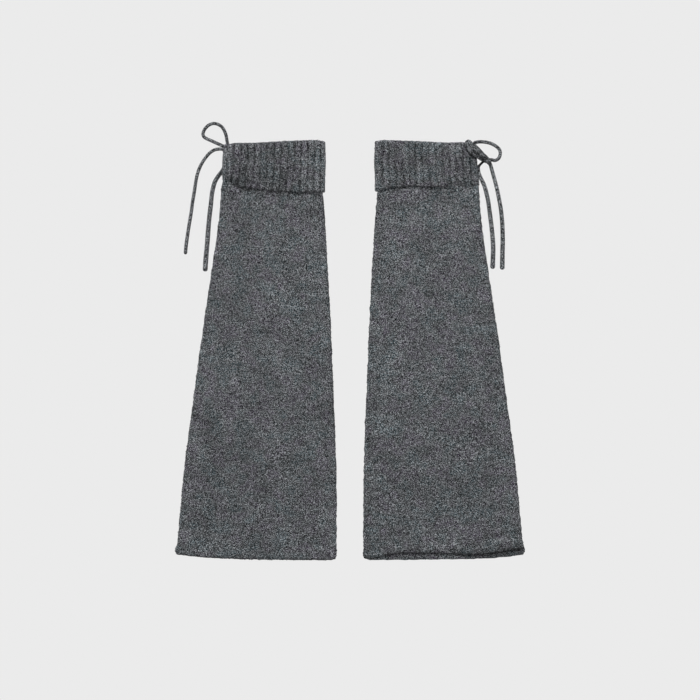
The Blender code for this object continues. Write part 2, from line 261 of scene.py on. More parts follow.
# A painted shadow on the left leg under the outer part of the cuff's lip
LEG_UNDER_LIP_SHADOW = Patch(-0.22, (82.0, 92.0), (110.0, 116.0), BEFORE, (2.0, 11.0))

# The cords of the bows, along the same points as their solids, thicker towards some ends. A
# tight one is stretched thin, with painted shade on it, for some way out of its knot
Cord = namedtuple("Cord", "start_width end_width tight far_end route")
CORDS = {
    "left_bow_loop": Cord(3.1, 3.2, 0.0, "object", (
        (-122.6, 206.6, 2.5), (-123.4, 211.5, 2.1), (-124.5, 216.4, 2.0), (-127.4, 222.2, 2.0),
        (-131.4, 225.4, 2.0), (-136.4, 226.6, 2.0), (-141.2, 225.0, 2.0), (-144.8, 221.6, 2.0),
        (-146.6, 218.2, 2.0), (-147.0, 215.0, 2.0), (-144.9, 212.2, 2.0), (-138.0, 209.0, 2.0),
        (-131.4, 206.0, 2.1), (-126.8, 204.0, 2.5))),
    "left_bow_tail_outer": Cord(3.1, 3.5, 0.0, "bare", (
        (-126.1, 200.6, 2.5), (-128.8, 201.0, 2.1), (-132.2, 200.9, 2.0), (-136.0, 200.0, 2.0),
        (-140.4, 197.0, 2.0), (-144.8, 191.9, 2.0), (-148.8, 185.7, 2.0), (-151.6, 179.3, 2.0),
        (-153.4, 173.0, 2.0), (-154.6, 166.1, 2.0), (-155.9, 157.5, 2.0), (-157.6, 147.2, 2.0),
        (-158.8, 138.0, 2.0), (-161.4, 122.4, 2.0), (-163.8, 106.0, 2.0), (-164.7, 95.7, 2.0))),
    "left_bow_tail_inner": Cord(3.9, 4.8, 0.0, "bare", (
        (-121.4, 196.8, 2.5), (-123.0, 190.5, 2.1), (-125.0, 184.6, 2.0), (-127.6, 179.4, 2.0),
        (-131.4, 174.4, 2.0), (-134.8, 169.0, 2.0), (-136.8, 162.7, 2.0), (-138.3, 154.6, 2.0),
        (-139.2, 145.4, 2.0), (-140.6, 134.0, 2.0), (-141.7, 122.0, 2.0), (-142.9, 106.0, 2.0),
        (-144.2, 91.0, 2.0), (-145.0, 78.6, 2.0))),
    "right_bow_loop": Cord(3.4, 3.2, 0.0, "object", (
        (134.7, 194.0, 2.4), (131.4, 197.8, 2.0), (127.8, 201.6, 2.0), (124.6, 204.8, 2.0),
        (124.4, 207.0, 2.0), (127.2, 208.0, 2.0), (131.4, 208.3, 2.0), (136.6, 207.8, 2.0),
        (141.6, 206.4, 2.0), (146.0, 203.9, 2.0), (149.2, 201.0, 2.0), (150.3, 197.8, 2.0),
        (150.0, 194.4, 2.0), (148.3, 191.2, 2.0), (144.8, 189.6, 2.3), (141.6, 190.3, 2.9))),
    "right_bow_loop_folded": Cord(4.6, 4.4, 0.0, "object", (
        (134.9, 192.9, 8.0), (131.2, 195.3, 11.6), (127.3, 197.6, 14.2), (124.3, 200.0, 14.9),
        (122.0, 202.8, 14.8), (120.2, 205.8, 14.4), (118.7, 207.4, 13.8), (117.1, 207.2, 13.2),
        (116.7, 205.3, 12.8), (117.9, 202.6, 12.6), (119.3, 200.1, 12.5), (121.2, 197.9, 12.4),
        (123.4, 196.2, 11.8), (125.8, 194.8, 10.6), (128.2, 193.2, 8.8), (130.5, 191.8, 7.0),
        (132.2, 190.9, 5.6))),
    "right_bow_tail_outer": Cord(3.5, 4.6, 0.0, "bare", (
        (140.2, 185.8, 2.6), (141.4, 182.2, 2.1), (143.1, 176.0, 2.0), (146.0, 165.4, 2.0),
        (147.7, 158.2, 2.0), (149.4, 149.6, 2.0), (150.8, 141.6, 2.0), (151.8, 133.0, 2.0),
        (152.4, 125.0, 2.0), (152.8, 109.7, 2.0), (152.5, 95.0, 2.0), (152.3, 80.4, 2.0))),
    "right_bow_tail_inner": Cord(3.7, 4.6, 10.0, "bare", (
        (133.2, 188.3, 2.5), (131.2, 186.4, 2.1), (129.0, 184.0, 2.0), (128.1, 181.0, 2.0),
        (128.9, 176.4, 2.0), (131.3, 171.0, 2.0), (134.0, 165.4, 2.0), (135.7, 160.0, 2.0),
        (136.9, 155.0, 2.0), (138.2, 149.2, 2.0), (140.1, 135.2, 2.0), (142.1, 118.6, 2.0),
        (143.2, 103.3, 2.0), (142.9, 88.0, 2.0), (142.6, 81.2, 2.0))),
}
CORD_RING = 0.6
CORD_SIDES = 20
CORD_WALES = 5
CORD_STITCH = 2.1
CORD_TWIST = 0.02
CORD_SLANT = 0.55
CORD_CORE = 0.93
CORD_WALE_RISE = 0.07
CORD_STITCH_RISE = 0.1
CORD_LOWEST = 0.03
END_WIDTH = 0.35
END_LONG = 1.6
DRAWN_IN = 0.6
TIGHT_WIDTH = 0.62
TIGHT_FADE = 3.0
ROUTE_PARTS = 24

# The bows' knots: where each one is, how far it reaches along, across and up, and its turn in
# degrees. One end of cord is wound round two strands, which pass at these shares of its reach
Knot = namedtuple("Knot", "centre reach turn")
KNOTS = {
    "left_bow_knot": Knot((-121.2, 201.6, 3.4), (5.3, 4.6, 3.3), 20),
    "right_bow_knot": Knot((137.2, 189.6, 4.5), (5.4, 3.4, 4.0), -42),
}
KNOT_STRANDS = ((0.42, 0.3), (-0.42, -0.3))
KNOT_STRAND_SHORT = 0.9
KNOT_STRAND_BOW = 0.8
KNOT_STRAND_STEPS = 16
KNOT_THIN = 0.94
WRAP_TURNS = 1.3
WRAP_STEPS = 60
WRAP_SPREAD = 1.5

# Loose fibres raised by brushing: how many lie on each square centimetre, and their sizes
Nap = namedtuple("Nap", "per_sq_cm long wide lift")
LEG_NAP = Nap(64, 2.2, 0.42, 0.45)
CUFF_NAP = Nap(64, 2.0, 0.4, 0.35)
EDGE_NAP = Nap(14, 2.4, 0.25, 0.4)
NAP_POINTS = 3

# How the fibres vary: shares of their sizes, their curl in radians, and how they lie
NAP_LONG = (0.45, 1.35)
NAP_WIDE = (0.6, 1.3)
NAP_LIFT = (0.1, 1.0)
NAP_CURL = 1.3
NAP_TILT = 0.6
NAP_END_WIDTH = 0.35
NAP_CLEAR = 0.08
NAP_ARCH = (0.1, 0.9)
NAP_LEAST_CELL = 0.15
NAP_LOWEST = 0.02
EDGE_NAP_LOWEST = 0.4

# Colours as they are seen in even light
WOOL_MID = "#4A4F52"
WOOL_DARK = "#0E0F10"
WOOL_LIGHT = "#C6CACE"
WOOL_COOL = "#2C545E"
WOOL_WARM = "#614D6C"
RIB_MID = "#484A4D"
CORD_MID = "#565758"
WOOL_BLOOM = "#C9CDD2"
TABLE_PALE = "#EBEBEB"
BLACK = "#000000"
WHITE = "#FFFFFF"

# Where the yarn's noise turns to pale and dark flecks and to cool and warm patches, as stops
LIGHT_FLECKS = ((0.50, 0.0), (0.58, 1.0))
DARK_FLECKS = ((0.44, 1.0), (0.50, 0.0))
COOL_PATCHES = ((0.50, 0.0), (0.64, 1.0))
WARM_PATCHES = ((0.34, 0.95), (0.50, 0.0))
PALE_FIBRES = ((0.0, 0.0), (0.5, 0.08), (0.8, 0.28), (1.0, 0.85))

# How bright the yarn is: its clouds and its slubs, and the painted shade between its stitches that
# leaves their raised loops lighter, add to a low start
LEVEL_START = -0.3
CLOUD_LEVEL = 1.1
SLUB_LEVEL = 0.9
STITCH_LEVEL = 0.45

# How strongly the stitches and the flecks stand up in the finest relief, and its depth in all
STITCH_RELIEF = 0.6
FLECK_RELIEF = 0.9
RELIEF_STRENGTH = 0.9
RELIEF_DEPTH = 0.5

WOOL_IOR = 1.54

# Kinds of node
ATTRIBUTE = "ShaderNodeAttribute"
MATHS = "ShaderNodeMath"
MIX = "ShaderNodeMix"
NOISE = "ShaderNodeTexNoise"
RAMP = "ShaderNodeValToRGB"
VECTOR = "ShaderNodeVectorMath"

# How bright each kind of knit is in all, how much its yarn is tinted, how big its flecks are, how
# rough it is, and how wide and high a stitch is. Real stitches are finer: these are to show
Yarn = namedtuple("Yarn", "mid tone tint fleck rough wale course")
LEG_YARN = Yarn(WOOL_MID, 0.73, 1.0, 0.88, 0.95, 2.3, 1.8)
CUFF_YARN = Yarn(RIB_MID, 0.79, 0.9, 0.88, 0.95, 3.2, 1.8)
CORD_YARN = Yarn(CORD_MID, 0.66, 0.2, 1.1, 0.9, 1.9, 1.5)

# Scales of the yarn's unevenness, and how far and how wide its stitches wander
SLUB_LONG = 26.0
SLUB_HIGH = 2.6
CLOUD = 30.0
TINT = 13.0
WANDER = 1.1
WANDER_SIZE = 4.0

# A stitch's form: its legs' slant, how much lower its loop's ends are, and its roundness
STITCH_SLANT = 1.1
STITCH_LOOP = 0.6
STITCH_ROUND = 0.6

# The table, and light: the key comes from beyond the cuffs, in degrees from overhead and round
TABLE_REACH = 6000.0
TABLE_DROP = 0.3
SKY_LIGHT = 0.55
KEY_LIGHT = 2.0
KEY_SOFTNESS = 14.0
KEY_TILT = 48.0
KEY_TURN = 20.0

# The camera looks straight down and takes in a square of this side at the height of the cloth
FIELD = 700.0
CLOTH_HEIGHT = 4.0
LENS = 200.0
SENSOR = 36.0


def read_curve(keys, values, at):
    """Values at places between the keys, on a smooth curve through all the values."""
    keys = np.asarray(keys, float)
    values = np.asarray(values, float)
    last = len(keys) - 1
    before = np.maximum(np.arange(last + 1) - 1, 0)
    after = np.minimum(np.arange(last + 1) + 1, last)
    slopes = (values[after] - values[before]) / (keys[after] - keys[before])
    low = np.clip(np.searchsorted(keys, at, side="right") - 1, 0, last - 1)
    span = keys[low + 1] - keys[low]
    t = np.clip((at - keys[low]) / span, 0.0, 1.0)
    start = (2 * t**3 - 3 * t**2 + 1) * values[low] + (t**3 - 2 * t**2 + t) * span * slopes[low]
    end = (3 * t**2 - 2 * t**3) * values[low + 1] + (t**3 - t**2) * span * slopes[low + 1]
    return start + end


def read_line(line, out):
    """The height of a line that crosses the panel, at distances out from the middle."""
    outs, heights = zip(*line)
    return read_curve(outs, heights, out)


def tube_edges(y):
    """The tube's inner and outer edges at some heights."""
    heights, inner, outer = zip(*SECTIONS)
    return read_curve(heights, inner, y), read_curve(heights, outer, y)


def share_between(low, high, at):
    """How far places lie between two others, from 0 to 1."""
    return np.clip((at - low) / (high - low), 0.0, 1.0)


def ease(t):
    """A share from 0 to 1, with a soft start and a soft end."""
    return t * t * (3 - 2 * t)


def uneven(kind, x, y, panel):
    """Smooth unevenness of one kind, in a pattern of its own on each panel."""
    lattice = np.random.default_rng(kind.seed + panel).uniform(-1, 1, LATTICE)
    u = np.asarray(x) / kind.size + LATTICE_MIDDLE
    v = np.asarray(y) / kind.size + LATTICE_MIDDLE
    column = np.floor(u).astype(int)
    row = np.floor(v).astype(int)
    s = ease(u - column)
    t = ease(v - row)
    corner = [[lattice[(column + i) % LATTICE[0], (row + j) % LATTICE[1]] for j in (0, 1)]
              for i in (0, 1)]
    near = corner[0][0] * (1 - t) + corner[0][1] * t
    far = corner[1][0] * (1 - t) + corner[1][1] * t
    return kind.strength * (near * (1 - s) + far * s)


def panel_number(side, face):
    """A panel's own number, for its random draws."""
    return side + 3 * face


def patch_tone(patch, across, along):
    """How much dimmer or brighter the cloth looks in a patch with soft edges."""
    over = ease(share_between(*patch.start, across)) * (1 - ease(share_between(*patch.end, across)))
    down = ease(share_between(*patch.first, along)) * (1 - ease(share_between(*patch.last, along)))
    return patch.tone * over * down


def middle_height(y):
    """The height of the flattened tube's middle, which rises where the cuff lies under it."""
    return LEG_HALF + (CUFF_HALF - LEG_HALF) * ease(share_between(SLOPE_FOOT, SLOPE_HEAD, y))


def corner_lift(side, out, y):
    """How far the left cuff's outer corner is held up by the knot under it."""
    if side == RIGHT:
        return np.zeros_like(out)
    foot = LEG_TOP + GAP
    upward = share_between(foot, foot + LIFT_HIGH, y)
    return CORNER_RISE * ease(share_between(*LIFT_OUT, out)) * upward


def front_swell(side, out, y):
    """How far the leg's front panel stands off its back one, level at the seams and the cuff."""
    inner, outer = tube_edges(y)
    edge = np.minimum(out - inner, outer - out)
    fade = ease(share_between(*SEAM_FADE, edge)) * ease(share_between(*CUFF_FADE, y))
    rise = sum(swell.rise * np.exp(-((out - swell.out) / swell.wide) ** 2
                                   - ((y - swell.y) / swell.high) ** 2)
               for swell in SWELLS[side])
    return SWELL_RISE * rise * fade


def place(side, face, across, y, depth, swollen=False):
    """Points of the cloth, at heights and at depths out from the tube's inner face."""
    share, outward, upward = across
    inner, outer = tube_edges(y)
    core = inner + WALL + share * (outer - inner - 2 * WALL)
    out = core + outward * depth
    z = middle_height(y) + face * (GAP / 2 + depth * upward) + corner_lift(side, out, y)
    if swollen and face == FRONT:
        z = z + front_swell(side, core, y)
    return np.stack([side * out, y, np.maximum(z, 0.0)], axis=-1)


def samples_across(steps):
    """Samples from the inner seam, over the panel in even steps, to the outer seam, as columns
    of the share of the way over, and of how far the wall faces outward and upward there."""
    turns = np.radians(np.linspace(0, 90, SEAM_TURNS, endpoint=False))
    back = turns[::-1]
    none = np.zeros(steps + 1)
    share = np.concatenate([np.zeros(SEAM_TURNS), np.arange(steps + 1) / steps,
                            np.ones(SEAM_TURNS)])
    outward = np.concatenate([-np.cos(turns), none, np.cos(back)])
    upward = np.concatenate([np.sin(turns), none + 1, np.sin(back)])
    return share[:, None], outward[:, None], upward[:, None]


def add_object(name, data):
    """A new object of the scene."""
    made = bpy.data.objects.new(name, data)
    bpy.context.scene.collection.objects.link(made)
    return made


def finish_piece(name, points, faces, material, look, shades):
    """A named mesh in metres from points in millimetres, smooth, riding with the garment, that
    keeps how dark each of its points is painted, by painted shade and tone, for its material."""
    mesh = bpy.data.meshes.new(name)
    mesh.from_pydata((points * MM).tolist(), [], faces)
    mesh.shade_smooth()
    mesh.materials.append(material)
    shade = mesh.attributes.new(look, "FLOAT", "POINT")
    shade.data.foreach_set("value", shades.astype(np.float32))
    piece = add_object(name, mesh)
    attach(piece, "root")
    return piece


def cell_faces(first, second, third, fourth):
    """Four-cornered faces from four equal arrays of point numbers."""
    return np.stack([first.ravel(), second.ravel(), third.ravel(), fourth.ravel()], axis=-1)


def cloth_wall(node, near, far, shades, turned, material):
    """A closed wall of cloth in place of a solid, between two grids of points of the same size,
    each with a grid of how dark its painted shade and tone make it look."""
    columns, rows = near.shape[:2]
    numbers = np.arange(columns * rows).reshape(columns, rows)
    beyond = numbers + columns * rows
    faces = np.concatenate([
        cell_faces(numbers[:-1, :-1], numbers[:-1, 1:], numbers[1:, 1:], numbers[1:, :-1]),
        cell_faces(beyond[:-1, :-1], beyond[1:, :-1], beyond[1:, 1:], beyond[:-1, 1:]),
        cell_faces(numbers[:-1, 0], numbers[1:, 0], beyond[1:, 0], beyond[:-1, 0]),
        cell_faces(numbers[:-1, -1], beyond[:-1, -1], beyond[1:, -1], numbers[1:, -1]),
        cell_faces(numbers[0, :-1], beyond[0, :-1], beyond[0, 1:], numbers[0, 1:]),
        cell_faces(numbers[-1, :-1], numbers[-1, 1:], beyond[-1, 1:], beyond[-1, :-1]),
    ])
    if turned:
        faces = faces[:, ::-1]
    points = np.concatenate([near.reshape(-1, 3), far.reshape(-1, 3)])
    values = np.concatenate([np.broadcast_to(grid, (columns, rows)).ravel() for grid in shades])
    piece = finish_piece(node + "_cloth", points, faces.tolist(), material, "painted_shade_and_tone",
                         values)
    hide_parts(node)
    return piece


def read_grid(grid, places):
    """What a grid of points or directions gives at places between its own."""
    column = np.clip(places[..., 0], 0, grid.shape[0] - 1.001)
    row = np.clip(places[..., 1], 0, grid.shape[1] - 1.001)
    i = column.astype(int)
    j = row.astype(int)
    s = (column - i)[..., None]
    t = (row - j)[..., None]
    low = grid[i, j] * (1 - t) + grid[i, j + 1] * t
    high = grid[i + 1, j] * (1 - t) + grid[i + 1, j + 1] * t
    return low * (1 - s) + high * s


def unit(vectors):
    """The same directions, all one long."""
    return vectors / np.maximum(np.linalg.norm(vectors, axis=-1), 1e-9)[..., None]


def nap(node, surface, shades, kind, seed, material, keep):
    """Loose fibres, brushed up from a grid of surface points where they are kept, as one mesh of
    thin ribbons, each of a random tone and darkened by the painted shade of the cloth it lies on."""
    rng = np.random.default_rng(seed)
    columns, rows = surface.shape[:2]
    along_columns = np.gradient(surface, axis=0)
    along_rows = np.gradient(surface, axis=1)
    normals = np.cross(along_columns, along_rows)
    sizes = np.linalg.norm(normals, axis=-1)
    area = sizes.sum()
    count = int(area / 100 * kind.per_sq_cm)
    chosen = rng.choice(sizes.size, count, p=(sizes / area).ravel())
    at = np.stack(np.divmod(chosen, rows), axis=-1) + rng.uniform(-0.5, 0.5, (count, 2))
    kept = keep(surface.reshape(-1, 3)[chosen])
    at = at[kept]
    chosen = chosen[kept]
    count = len(at)
    long = kind.long * rng.uniform(*NAP_LONG, count)
    heading = rng.uniform(0, 2 * np.pi, count)
    curl = rng.uniform(-NAP_CURL, NAP_CURL, count)
    lift = kind.lift * rng.uniform(*NAP_LIFT, count)
    wide = kind.wide * rng.uniform(*NAP_WIDE, count)
    cell = np.stack([np.linalg.norm(along_columns, axis=-1), np.linalg.norm(along_rows, axis=-1)])
    pace = long / (NAP_POINTS - 1)
    steps = np.linspace(0, 1, NAP_POINTS)
    spots = []
    for share in steps:
        spots.append(at)
        angle = heading + curl * share
        i = np.clip(at[:, 0].astype(int), 0, columns - 1)
        j = np.clip(at[:, 1].astype(int), 0, rows - 1)
        reach = np.maximum(cell[:, i, j], NAP_LEAST_CELL)
        at = at + np.stack([np.cos(angle) * pace / reach[0], np.sin(angle) * pace / reach[1]], -1)
    spots = np.stack(spots, axis=1)
    facing = unit(read_grid(unit(normals), spots))
    arch = NAP_CLEAR + lift[:, None] * np.sin(np.pi * np.linspace(*NAP_ARCH, NAP_POINTS))
    line = read_grid(surface, spots) + facing * arch[..., None]
    sideways = unit(np.cross(np.gradient(line, axis=1), facing))
    slim = wide[:, None] / 2 * (NAP_END_WIDTH + (1 - NAP_END_WIDTH) * np.sin(np.pi * steps))
    tilt = facing * (slim * rng.uniform(-NAP_TILT, NAP_TILT, count)[:, None])[..., None]
    edge = sideways * slim[..., None] + tilt
    points = np.stack([line + edge, line - edge], axis=2).reshape(-1, 3)
    points[:, 2] = np.maximum(points[:, 2], NAP_LOWEST)
    base = (np.arange(count) * NAP_POINTS * 2)[:, None] + np.arange(NAP_POINTS - 1) * 2
    faces = cell_faces(base, base + 1, base + 3, base + 2)
    # Each fibre takes the painted shade of the cloth where it is rooted
    creases = np.broadcast_to(shades, (columns, rows)).ravel()[chosen]
    values = np.repeat(rng.uniform(0, 1, count) * creases, NAP_POINTS * 2)
    return finish_piece(node + "_nap", points, faces.tolist(), material, "fibre_tone_and_shade",
                        values)


def brush(node, surface, shades, face, kind, seed, top, material):
    """The fibres of a panel: below a height on a front one, and off the table on a back one."""
    if face == FRONT:
        return nap(node, surface, shades, kind, seed, material,
                   lambda spots: spots[:, 1] < top)
    return nap(node, surface, shades, EDGE_NAP, seed, material,
               lambda spots: spots[:, 2] > EDGE_NAP_LOWEST)


def leg_shade(side, face, across, y, up):
    """How dark the outside of the leg looks, from its hem up to where the cuff covers it: painted
    shade along the hem's edge and at the seams, darker towards the hem, and on the left leg a
    dimmer patch high on its outer side and a painted shadow under the outer part of the cuff's lip.
    """
    share, _, upward = across
    shade = OPEN + (HEM_SHADE - OPEN) * (1 - ease(share_between(*HEM_EDGE_FADE, up)))
    shade = shade * (1 - HEM_DIM * share_between(HEM_DIM_TOP, PLAIN_FOOT, y))
    shade = shade * (SEAM_SHADE + (OPEN - SEAM_SHADE) * upward)
    if side == LEFT:
        shade = shade * (1 + patch_tone(LEG_UPPER_OUTER, share, y))
    # A painted shadow under the outer part of the cuff's lip
    if side == LEFT and face == FRONT:
        inner, outer = tube_edges(LEG_TOP)
        out = inner + share * (outer - inner)
        shade = shade * (1 + patch_tone(LEG_UNDER_LIP_SHADOW, out, read_line(CUFF_LINES[side], out) - y))
    return shade


def leg_panel(side, face, wool, fluff):
    """The front or back of one leg, from its rolled hem to its top edge under the cuff."""
    across = samples_across(LEG_STEPS)
    share, _, upward = across
    panel = panel_number(side, face)
    hem_inner, hem_outer = tube_edges(TUBE_FOOT)
    hem = read_line(HEM_LINES[side, face], hem_inner + share * (hem_outer - hem_inner))
    hem = hem + uneven(HEM_WANDER, hem_outer * share, 0.0, panel)
    rolled = np.concatenate([np.arange(0, HEM_EDGE_HIGH, HEM_EDGE_ROW),
                             np.arange(HEM_EDGE_HIGH, HEM_HIGH, HEM_ROW)])
    bridge = np.linspace(0, 1, BRIDGE_ROWS, endpoint=False)
    count = round((LEG_TOP - PLAIN_FOOT) / LEG_ROW)
    plain = np.linspace(PLAIN_FOOT, LEG_TOP, count + 1) + 0 * share
    foot = hem + HEM_HIGH
    y = np.concatenate([hem + rolled, foot + (PLAIN_FOOT - foot) * bridge, plain], axis=1)
    up = y - hem
    ups = [roll.up for roll in HEM_ROLL]
    swell = read_curve(ups, [roll.outside for roll in HEM_ROLL], up)
    tuck = read_curve(ups, [roll.inside for roll in HEM_ROLL], up)
    rests = face == BACK
    seen = 1 - upward if rests else 1 + 0 * upward
    ripple = HEM_RIPPLE * np.sin(2 * np.pi * up / HEM_COURSE) * (up > HEM_COURSE_FROM)
    ripple = ripple * (1 - share_between(*HEM_COURSE_FADE, up))
    swell = np.where(swell > 0, (swell + ripple) * seen, swell)
    out = LEG_SPREAD * share
    fluffy = uneven(LEG_FLUFF, out, y, panel)
    fluffy = fluffy * (upward + (1 - upward) * SEAM_FLUFF / LEG_FLUFF.strength)
    bumps = (uneven(LEG_PUCKER, out, y, panel) + fluffy) * seen
    near = place(side, face, across, y, LINING_DEPTH + tuck, True)
    far = place(side, face, across, y, WALL + swell + bumps, True)
    node = f"{SIDE_NAMES[side]}_leg_{FACE_NAMES[face]}"
    outer_shade = leg_shade(side, face, across, y, up)
    # Painted shade on the inner face, where it shows at the hem, darker towards the outer side
    inner_shade = LINING_SHADE - LINING_DIM * ease(share_between(*LINING_FADE, out))
    piece = cloth_wall(node, near, far, (inner_shade, outer_shade), side * face < 0, wool)
    order = slice(None, None, side * face)
    fibres = brush(node, far[order], outer_shade[order], face, LEG_NAP,
                   LEG_NAP_SEEDS[face] + side, LEG_TOP, fluff)


def painted_loop_shadow(side, points):
    """How dark the painted shadow makes the cuff close beside and under the folded loop across it.
    """
    if side == LEFT:
        return OPEN
    away = np.full(points.shape[:2], np.inf)
    for spot in smooth_route(CORDS["right_bow_loop_folded"].route, 1.0):
        away = np.minimum(away, np.hypot(points[..., 0] - spot[0], points[..., 1] - spot[1]))
    return OPEN - (OPEN - LOOP_SHADE) * (1 - ease(share_between(*LOOP_FADE, away)))


def on_flat(upward):
    """Which samples lie on the flat of a panel, and not round its seams."""
    return upward > 0.999


def cuff_ribs(side, face, across):
    """Where the cuff's samples lie, as distances out, how far along its ribs each one is, which
    rib it is on, and how high that rib's ridge stands there."""
    share, _, upward = across
    panel = panel_number(side, face)
    inner, outer = tube_edges(SLOPE_HEAD)
    out = inner + share * (outer - inner)
    drift = uneven(RIB_DRIFT, out, 0.0, panel) * np.sin(np.pi * share)
    phase = RIB_START[side] + share * RIBS + drift
    number = np.clip(np.floor(phase), 0, RIBS).astype(int)
    vigour = np.random.default_rng(RIB_SEED + panel).uniform(*RIB_VIGOUR, RIBS + 1)[number]
    ridge = np.abs(np.sin(np.pi * phase)) ** RIB_ROUND * vigour * on_flat(upward)
    return Ribs(out, phase, number, ridge)


def cuff_shade(side, face, upward, ribs, y, fold):
    """How dark the outside of the cuff looks, apart from its lip: painted shade in the grooves
    between its ribs, down the middle of each rib and at its seams, painted light on the top of its
    fold, and uneven tone all over."""
    panel = panel_number(side, face)
    # Painted shade in the grooves between the ribs and down the middle of each rib, in patches
    waver = ribs.phase + uneven(GROOVE_WAVER, ribs.out, y, panel)
    groove = (1 - np.abs(np.sin(np.pi * waver))) ** GROOVE_NARROW * on_flat(upward)
    stitches = np.exp(-((np.mod(waver, 1.0) - 0.5) / STITCH_LINE_WIDE) ** 2) * on_flat(upward)
    shows = GROOVE_SHOWS[side] + uneven(GROOVE_PATCHES, ribs.number * RIB_APART, y, panel)
    shade = OPEN - (OPEN - GROOVE_SHADE) * groove * shows
    shade = shade - (OPEN - STITCH_LINE_SHADE) * stitches * shows
    rng = np.random.default_rng(RIB_TONE_SEED + panel)
    rib_tone = rng.uniform(-RIB_UNEVEN, RIB_UNEVEN, RIBS + 1)[ribs.number]
    below = np.maximum(fold - y, 0)
    tone = 1 + rib_tone + uneven(WORN_PATCHES, ribs.out, y / 2, panel)
    # Painted light on the top of the cuff's fold, fading down from it
    tone = tone + FOLD_PAINTED_LIGHT * np.exp(-below / FOLD_PAINTED_LIGHT_DEEP)
    for patch in CUFF_TONES[side]:
        tone = tone + patch_tone(patch, ribs.out, below)
    return shade * tone * (SEAM_SHADE + (OPEN - SEAM_SHADE) * upward)


def cuff_panel(side, face, wool, fluff):
    """The front or back of one cuff: up from the leg's top edge, over the fold and down again."""
    across = samples_across(RIBS * RIB_STEPS)
    _, outward, upward = across
    panel = panel_number(side, face)
    ribs = cuff_ribs(side, face, across)
    low = read_line(CUFF_LINES[side], ribs.out) - RIB_DIPS * ribs.ridge + RIB_LEVEL
    fold = read_line(FOLD_LINES[side], ribs.out) - FOLD_RADIUS - RIB_RISE
    rising = LEG_TOP + (fold - LEG_TOP) * np.linspace(0, 1, RISING_ROWS)
    turns = np.radians(np.linspace(-90, 90, FOLD_TURNS + 2))[1:-1]
    count = round((FOLD_LINES[side][2][1] - CUFF_LINES[side][0][1]) / CUFF_ROW)
    falling = fold + (low + LIP_HIGH - fold) * np.linspace(0, 1, count)
    lip = np.pi / 2 * np.linspace(0, 1, LIP_ROWS + 1)[1:]
    lip_y = low + LIP_HIGH * (1 - np.sin(lip))

    seen = 1.0 if face == FRONT else 0.0
    rib = RIB_RISE * ribs.ridge
    wobble = uneven(RIB_WOBBLE, ribs.number * RIB_APART, falling, panel)
    bumps = uneven(CUFF_PUCKER, ribs.out, falling, panel)
    bumps = bumps + uneven(CUFF_FLUFF, ribs.out, falling, panel)
    bumps = bumps * (1 - upward if face == BACK else 1)
    level = LAYER + WALL + seen * rib * (1 + wobble) + bumps
    faded = ease(share_between(*LIP_FADES[side], ribs.out)) * upward * seen
    flat = 1 - faded * (1 - ease(share_between(0.0, FADED_HIGH, falling - low)))
    level = LAYER + FADED_LIP + (level - LAYER - FADED_LIP) * flat
    near_lip = 1 - ease(share_between(0.0, SEAM_DRAW_HIGH, falling - low))
    level = level - SEAM_DRAW * np.maximum(outward, 0.0) * near_lip
    lip_drop = (level[:, -1:] - LAYER) * (1 - np.cos(lip))
    over = ease(share_between(*FOLD_OVER, turns)) * seen
    reach = FOLD_RADIUS + FOLD_EVEN + FOLD_RIB * ribs.ridge * (1 - over) + (rib - FOLD_EVEN) * over
    reach = reach + uneven(FOLD_FLUFF, ribs.out, FOLD_RUN * turns, panel)

    near_y = np.concatenate([rising, fold + reach * np.cos(turns), falling, lip_y], axis=1)
    near_depth = np.concatenate([
        LINING_DEPTH + 0 * rising, FOLD_RADIUS + reach * np.sin(turns), level,
        level[:, -1:] - LIP_CLOSES[0] * lip_drop], axis=1)
    far_y = np.concatenate([rising, fold + GAP / 2 * np.cos(turns), falling, lip_y], axis=1)
    far_depth = np.concatenate([
        WALL + 0 * rising, FOLD_RADIUS + GAP / 2 * np.sin(turns) + 0 * fold, LAYER + 0 * falling,
        LAYER + LIP_CLOSES[1] * lip_drop], axis=1)
    near = place(side, face, across, near_y, near_depth)
    far = place(side, face, across, far_y, far_depth)

    node = f"{SIDE_NAMES[side]}_cuff_{FACE_NAMES[face]}"
    outside_shade = cuff_shade(side, face, upward, ribs, near_y, fold)
    # A painted shadow line along the cuff's lip, faint where the lip lies flat and patchy along it
    lip_shadow = 1 - ease(share_between(0.0, LIP_SHADOW_HIGH, near_y - low))
    lip_shadow[:, :RISING_ROWS + FOLD_TURNS] = 0
    lip_shadow = lip_shadow * (1 - LIP_SHADOW_FADES * faded)
    lip_shadow = lip_shadow * (LIP_SHADOW_SHOWS + uneven(LIP_SHADOW_PATCHES, ribs.out, 0.0, panel))
    outside_shade = outside_shade + (LIP_SHADE - outside_shade) * lip_shadow
    # Painted shadow beside and under the folded loop
    outside_shade = outside_shade * painted_loop_shadow(side, near)
    # Painted shade on the cuff's inner faces, but not on the wall that rises from the leg
    inside_shade = LINING_SHADE + 0 * near_y
    inside_shade[:, :RISING_ROWS] = OPEN
    piece = cloth_wall(node, near, far, (outside_shade, inside_shade), side * face > 0, wool)
    first = RISING_ROWS + FOLD_TURNS // 3
    order = slice(None, None, -side * face)
    fibres = brush(node, near[order, first:], outside_shade[order, first:], face, CUFF_NAP,
                   CUFF_NAP_SEEDS[face] + side, math.inf, fluff)


